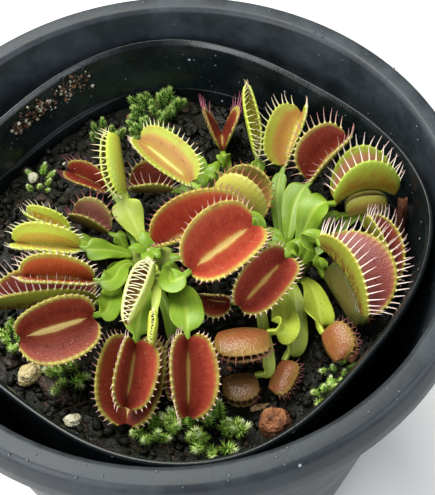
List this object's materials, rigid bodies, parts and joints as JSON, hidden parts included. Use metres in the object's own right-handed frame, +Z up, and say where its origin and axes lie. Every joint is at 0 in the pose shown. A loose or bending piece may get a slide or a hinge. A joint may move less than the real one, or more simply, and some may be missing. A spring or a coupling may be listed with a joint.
{
  "type": "potted venus flytrap",
  "caption": "Potted venus flytrap: toothed hinged leaf traps, open and closed, on winged stalks, in a square nursery pot of peat inside a round tapering cover pot.",
  "frame": {"origin": "middle of the outer pot's base, where it rests on a surface", "axes": "+Z up along the pot's axis, -Y towards the side the picture was taken from, +X to the right in the picture"},
  "size_m": [0.143, 0.143, 0.132],
  "materials": {
    "pot_plastic": "matte",
    "nursery_plastic": "semi-gloss",
    "peat": "damp and crumbly",
    "crown": "satin",
    "leaf_crimson": "satin",
    "leaf_maroon": "satin",
    "leaf_amber": "satin",
    "leaf_lime": "satin",
    "leaf_cream": "satin",
    "leaf_olive": "satin",
    "leaf_rose": "satin",
    "moss": "matte",
    "perlite": "matte",
    "tan_stone": "matte",
    "lava_stone": "matte",
    "bark": "matte"
  },
  "bodies": {
    "root": {"outer_pot": "pot_plastic", "nursery_pot": "nursery_plastic", "peat": "peat", "crown_left": "crown", "crown_right": "crown", "crown_back": "crown", "leaf_crimson_behind": "leaf_crimson", "leaf_crimson_centre": "leaf_crimson", "leaf_maroon_centre": "leaf_maroon", "leaf_maroon_small": "leaf_maroon", "leaf_right_large": "leaf_maroon", "leaf_right_rear": "leaf_maroon", "leaf_right_olive": "leaf_olive", "leaf_right_young": "leaf_lime", "leaf_back_right_arched": "leaf_lime", "leaf_back_right_red": "leaf_maroon", "leaf_back_green": "leaf_amber", "leaf_back_maroon": "leaf_maroon", "leaf_back_narrow": "leaf_lime", "leaf_amber_open": "leaf_amber", "leaf_amber_shaded": "leaf_maroon", "leaf_yellow_closed": "leaf_lime", "leaf_lime_closed": "leaf_lime", "leaf_left_red_small": "leaf_crimson", "leaf_left_pink": "leaf_rose", "leaf_left_amber": "leaf_amber", "leaf_left_amber_narrow": "leaf_amber", "leaf_left_orange": "leaf_crimson", "leaf_left_maroon": "leaf_maroon", "leaf_front_left_red": "leaf_maroon", "leaf_cream_closed": "leaf_cream", "leaf_cream_young": "leaf_cream", "leaf_front_brown": "leaf_maroon", "leaf_front_russet": "leaf_crimson", "leaf_front_scarlet": "leaf_crimson", "leaf_front_shaded": "leaf_maroon", "leaf_front_pink_closed": "leaf_rose", "leaf_front_olive_closed": "leaf_olive", "leaf_front_rose_closed": "leaf_rose", "leaf_front_orange_closed": "leaf_rose", "moss_front": "moss", "moss_front_left": "moss", "moss_left": "moss", "moss_right": "moss", "moss_back": "moss", "stone_rust": "lava_stone", "stone_tan": "tan_stone", "stone_white": "perlite", "stone_cream_right": "perlite", "stone_white_back": "perlite", "bark_chip": "bark", "stone_brown_right": "lava_stone"}
  },
  "joints": []
}
